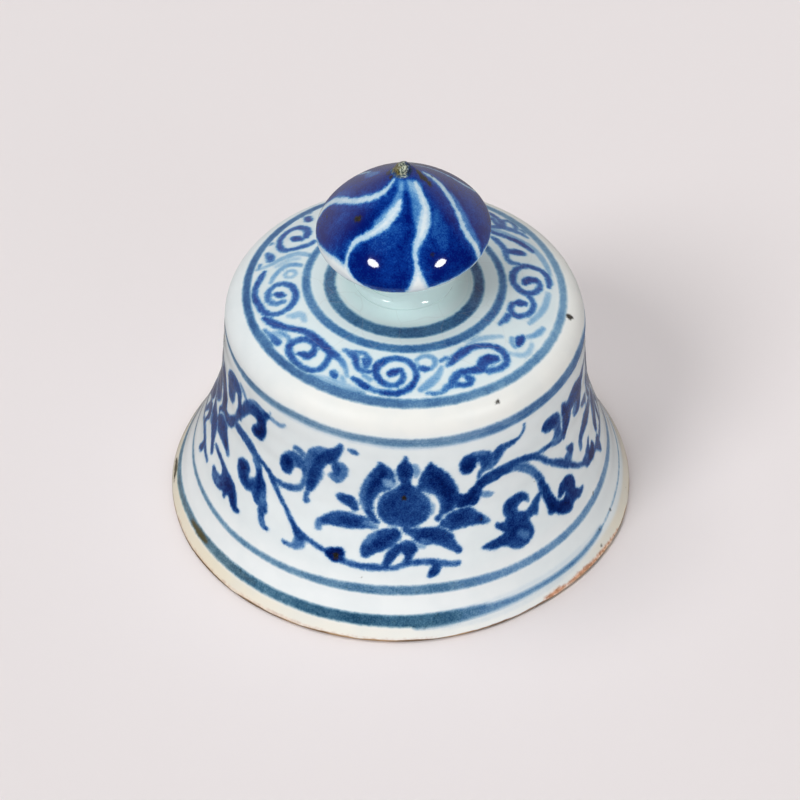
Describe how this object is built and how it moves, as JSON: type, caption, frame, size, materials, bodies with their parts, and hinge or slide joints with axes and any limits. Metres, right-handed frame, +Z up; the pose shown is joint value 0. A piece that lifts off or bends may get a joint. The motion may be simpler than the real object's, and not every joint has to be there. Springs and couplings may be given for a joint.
{
  "type": "porcelain meiping cover",
  "caption": "Bell-shaped porcelain cover for a meiping vase: flared skirt, rolled shoulder, bud knob on a waisted foot and an inner locating sleeve.",
  "frame": {"origin": "centre of the bare rim that the cover stands on, at the bottom of the part", "axes": "+Z up along the axis that the cover was thrown about, towards the knob; -Y towards the side that the picture shows"},
  "size_m": [0.12, 0.12, 0.1041],
  "materials": {
    "glazed_porcelain": "glossy bluish-white glaze with cobalt painting under it",
    "cobalt_glaze": "glossy glaze over a deep cobalt wash with lines left white",
    "iron_brown_glaze": "glaze thinned to green-brown over iron-rich clay",
    "biscuit": "unglazed, cream-buff to rust"
  },
  "bodies": {
    "root": {"bell_shell": "glazed_porcelain", "knob_slip_joint": "glazed_porcelain", "knob_bud": "cobalt_glaze", "knob_point_pellet": "iron_brown_glaze", "sleeve_slip_joint": "biscuit", "inner_sleeve": "biscuit"}
  },
  "joints": []
}
